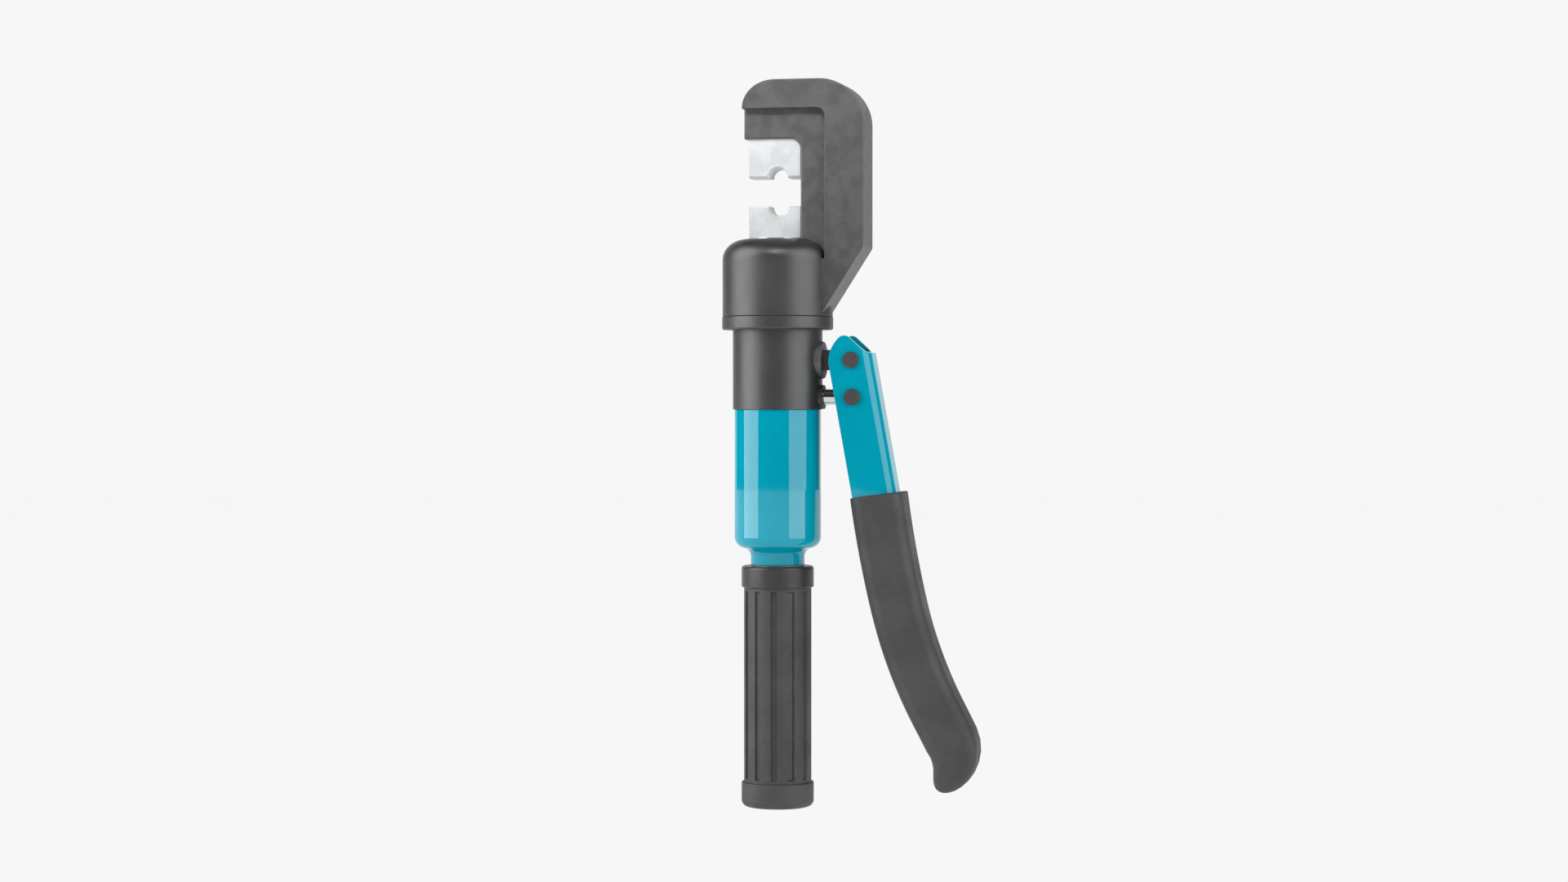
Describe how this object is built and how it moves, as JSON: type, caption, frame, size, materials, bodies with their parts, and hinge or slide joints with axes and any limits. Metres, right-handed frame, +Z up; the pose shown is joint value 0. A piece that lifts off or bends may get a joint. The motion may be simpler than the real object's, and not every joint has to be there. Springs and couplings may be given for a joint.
{
  "type": "hydraulic crimping tool",
  "caption": "Hand-pumped hydraulic crimping tool with an open C-shaped jaw, two half-round dies, a teal reservoir housing, a fluted grip and a pump lever.",
  "frame": {"origin": "centre of the flat bottom of the grip's end cap", "axes": "+Z up the tool's axis towards the jaw, the jaw opens towards -X, the pump lever hangs on +X, -Y is the front"},
  "size_m": [0.1145, 0.049, 0.3195],
  "materials": {
    "black_enamel": "satin black-grey enamel, slightly worn",
    "head_casting": "fine cast texture under a satin grey-black coat",
    "teal_enamel": "glossy teal enamel",
    "teal_lever": "glossy teal enamel on bent sheet",
    "grip_rubber": "matt moulded rubber",
    "grip_plastic": "matt moulded plastic",
    "lever_rubber": "matt dipped grip",
    "die_steel": "ground tool steel",
    "ram_chrome": "hard chrome, ground",
    "plunger_chrome": "polished",
    "pin_steel": "blackened steel",
    "steel": "turned steel",
    "spring_steel": "oiled spring wire",
    "brass_fitting": "turned brass",
    "seal_rubber": "nitrile rubber",
    "seal_plastic": "white sealing plastic",
    "ball_steel": "bearing steel ball"
  },
  "bodies": {
    "tool_body": {"barrel": "black_enamel", "reservoir_housing": "teal_enamel", "oil_bladder": "seal_rubber", "bladder_plug": "steel", "spindle_seal": "seal_rubber", "bladder_clamps": "steel", "housing_seal": "seal_rubber", "passage_plug": "steel", "gland_nut": "steel", "plunger_packing": "seal_plastic", "suction_seat": "brass_fitting", "suction_ball": "ball_steel", "suction_spring": "spring_steel", "suction_filter": "brass_fitting", "delivery_ball": "ball_steel", "delivery_spring": "spring_steel", "delivery_plug": "brass_fitting", "release_ball": "ball_steel", "relief_ball": "ball_steel", "relief_spring": "spring_steel", "relief_screw": "brass_fitting", "fulcrum_lug": "black_enamel", "swivel_seal": "seal_rubber"},
    "turning_grip": {"grip_end_cap": "grip_plastic", "grip_sleeve": "grip_rubber", "grip_ring": "grip_plastic", "handle_tube": "steel", "thrust_washer": "seal_plastic", "handle_circlip": "spring_steel", "drive_pins": "steel", "drive_hub": "steel", "release_spindle": "steel"},
    "head": {"head_frame": "head_casting", "retaining_collar": "black_enamel", "rod_wiper": "seal_rubber", "return_spring": "spring_steel", "upper_detent": "ball_steel"},
    "ram": {"ram": "ram_chrome", "piston_seal": "seal_rubber", "backup_ring": "seal_plastic", "lower_detent": "ball_steel"},
    "upper_die": {"upper_die": "die_steel"},
    "lower_die": {"lower_die": "die_steel"},
    "pump_lever": {"lever_channel": "teal_lever", "lever_grip": "lever_rubber", "fulcrum_pin": "pin_steel", "plunger_pin": "pin_steel", "pin_clips": "spring_steel", "fulcrum_spacers": "steel", "plunger_spacers": "steel"},
    "pump_plunger": {"plunger": "plunger_chrome"}
  },
  "joints": [
    {"name": "head_swivel", "type": "hinge", "parent": "tool_body", "child": "head", "pos_m": [0, 0, 0.2159], "axis": [0, 0, 1], "continuous": true},
    {"name": "ram_stroke", "type": "slide", "parent": "head", "child": "ram", "axis": [0, 0, 1], "range_m": [0, 0.012], "stiffness_N_per_m": 1800, "springref_m": -0.006, "deforming": ["return_spring"]},
    {"name": "upper_die_slide", "type": "slide", "parent": "head", "child": "upper_die", "axis": [0, -1, 0], "range_m": [0, 0.012]},
    {"name": "lower_die_slide", "type": "slide", "parent": "ram", "child": "lower_die", "axis": [0, -1, 0], "range_m": [0, 0.012]},
    {"name": "lever_pump", "type": "hinge", "parent": "tool_body", "child": "pump_lever", "pos_m": [0.0347, 0, 0.1968], "axis": [0, 1, 0], "range_deg": [-35, 10]},
    {"name": "plunger_slide", "type": "slide", "parent": "tool_body", "child": "pump_plunger", "axis": [-1, 0, 0], "range_m": [-0.0096, 0.0028]},
    {"name": "release_twist", "type": "hinge", "parent": "tool_body", "child": "turning_grip", "pos_m": [0, 0, 0.1066], "axis": [0, 0, 1], "range_deg": [0, 90]}
  ],
  "couplings": [
    {"joint": "plunger_slide", "follows": "lever_pump", "m_per_rad": 0.0155}
  ]
}
